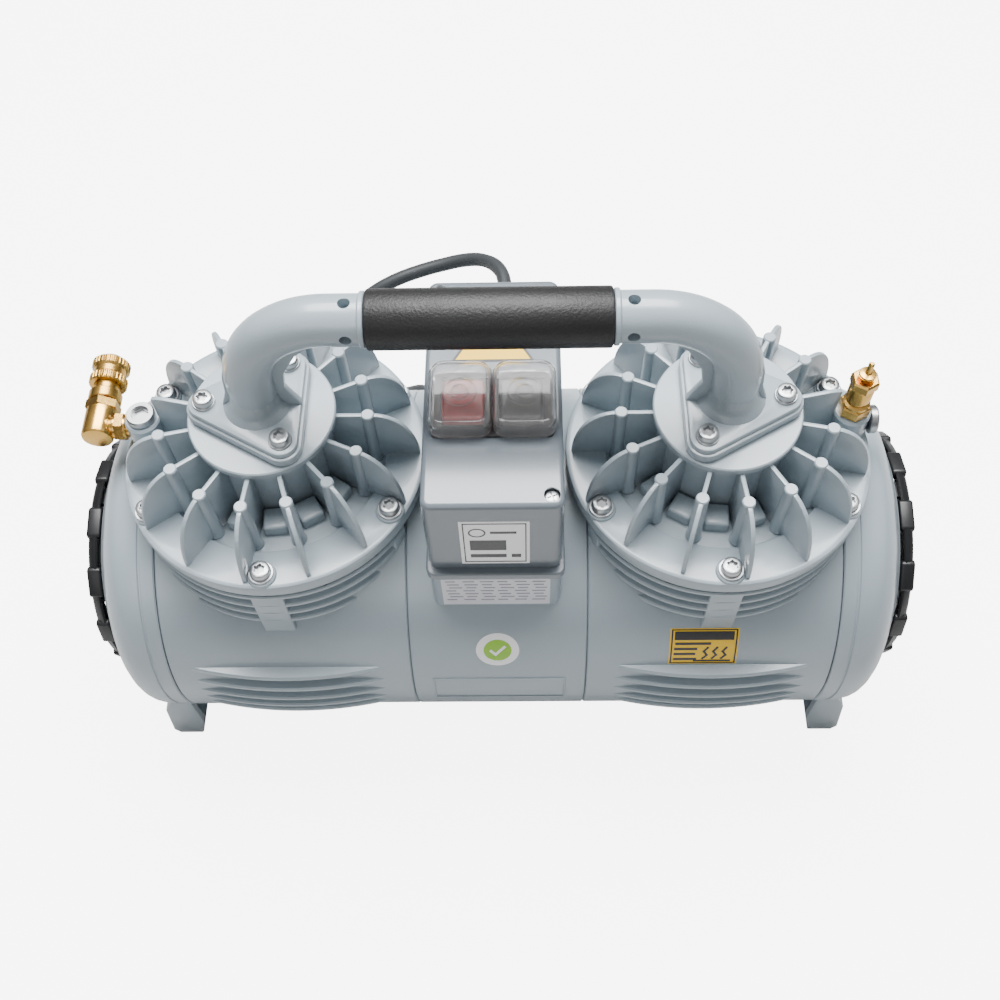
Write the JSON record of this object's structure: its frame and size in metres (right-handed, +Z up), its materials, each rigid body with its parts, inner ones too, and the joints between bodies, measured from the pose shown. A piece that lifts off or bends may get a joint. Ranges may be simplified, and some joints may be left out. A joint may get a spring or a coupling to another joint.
{
  "type": "air compressor",
  "caption": "Portable oil-free air compressor: horizontal motor barrel with finned diaphragm heads, a carrying handle bridging them, a switch box, fan guards and a brass air outlet.",
  "frame": {"origin": "centre of the compressor's footprint on the floor, its cord left out", "axes": "+X along the barrel towards the safety valve end, +Y to the back where the cord leaves, +Z up"},
  "size_m": [0.562, 0.3788, 0.4135],
  "materials": {
    "cast_paint": "light grey-blue paint on die-cast aluminium, satin",
    "box_plastic": "fine-grained moulded plastic",
    "black_plastic": "satin black moulded plastic",
    "red_plastic": "smooth",
    "clear_plastic": "soft clear cover, slightly cloudy",
    "cord_rubber": "smooth dark rubber",
    "grip_rubber": "finely pebbled with a slight sheen",
    "zinc_steel": "bright zinc plate",
    "dark_steel": "plain steel",
    "cast_aluminium": "as cast",
    "brass": "turned brass, lightly worn",
    "copper": "varnished copper wire",
    "can_plastic": "off-white capacitor can"
  },
  "bodies": {
    "frame": {"motor_housing": "cast_paint", "stator_core": "dark_steel", "left_stator_winding": "copper", "left_main_bearing": "zinc_steel", "left_crankcase": "cast_paint", "left_end_cap": "cast_paint", "left_fan_guard": "black_plastic", "left_diaphragm": "grip_rubber", "left_valve_plate": "cast_paint", "left_cylinder_head": "cast_paint", "left_handle_elbow": "cast_paint", "right_stator_winding": "copper", "right_main_bearing": "zinc_steel", "right_crankcase": "cast_paint", "right_end_cap": "cast_paint", "right_fan_guard": "black_plastic", "right_diaphragm": "grip_rubber", "right_valve_plate": "cast_paint", "right_cylinder_head": "cast_paint", "right_handle_elbow": "cast_paint", "left_flange_bolt_1": "zinc_steel", "left_flange_bolt_2": "zinc_steel", "left_flange_bolt_3": "zinc_steel", "right_flange_bolt_1": "zinc_steel", "right_flange_bolt_2": "zinc_steel", "right_flange_bolt_3": "zinc_steel", "handle_grip": "grip_rubber", "handle_core_tube": "dark_steel", "left_port_plug": "zinc_steel", "right_port_plug": "zinc_steel", "outlet_elbow": "brass", "coupling_body": "brass", "relief_valve_body": "brass", "terminal_box_base": "box_plastic", "terminal_box_lid": "box_plastic", "lid_screw_1": "zinc_steel", "lid_screw_2": "zinc_steel", "run_capacitor": "can_plastic", "switch_body": "black_plastic", "switch_cover": "clear_plastic", "cable_gland": "black_plastic", "power_cord": "cord_rubber", "power_cord_coil": "cord_rubber", "power_plug": "cord_rubber"},
    "shaft": {"motor_shaft": "zinc_steel", "rotor_core": "dark_steel", "left_eccentric": "dark_steel", "left_fan": "black_plastic", "right_eccentric": "dark_steel", "right_fan": "black_plastic"},
    "left_rod": {"left_connecting_rod": "cast_aluminium", "left_rod_bearing": "zinc_steel", "left_diaphragm_clamp": "zinc_steel"},
    "right_rod": {"right_connecting_rod": "cast_aluminium", "right_rod_bearing": "zinc_steel", "right_diaphragm_clamp": "zinc_steel"},
    "start_button": {"start_button": "black_plastic"},
    "stop_button": {"stop_button": "red_plastic"},
    "relief_valve_stem": {"relief_valve_stem": "zinc_steel"},
    "coupling_sleeve": {"coupling_sleeve": "brass"}
  },
  "joints": [
    {"name": "shaft_spin", "type": "hinge", "parent": "frame", "child": "shaft", "pos_m": [0, 0, 0.138], "axis": [1, 0, 0], "continuous": true, "deforming": ["left_diaphragm", "right_diaphragm"]},
    {"name": "left_rod_pivot", "type": "hinge", "parent": "shaft", "child": "left_rod", "pos_m": [-0.139, 0, 0.142], "axis": [1, 0, 0], "continuous": true},
    {"name": "right_rod_pivot", "type": "hinge", "parent": "shaft", "child": "right_rod", "pos_m": [0.139, 0, 0.134], "axis": [1, 0, 0], "continuous": true},
    {"name": "start_press", "type": "slide", "parent": "frame", "child": "start_button", "axis": [0, 0, -1], "range_m": [0, 0.003], "stiffness_N_per_m": 600},
    {"name": "stop_press", "type": "slide", "parent": "frame", "child": "stop_button", "axis": [0, 0, -1], "range_m": [0, 0.003], "stiffness_N_per_m": 600},
    {"name": "relief_pull", "type": "slide", "parent": "frame", "child": "relief_valve_stem", "axis": [0, 0, 1], "range_m": [0, 0.003], "stiffness_N_per_m": 1500},
    {"name": "sleeve_slide", "type": "slide", "parent": "frame", "child": "coupling_sleeve", "axis": [0, -1, 0], "range_m": [0, 0.004], "stiffness_N_per_m": 1500}
  ],
  "couplings": [
    {"joint": "left_rod_pivot", "follows": "shaft_spin", "ratio": -1},
    {"joint": "right_rod_pivot", "follows": "shaft_spin", "ratio": -1}
  ]
}
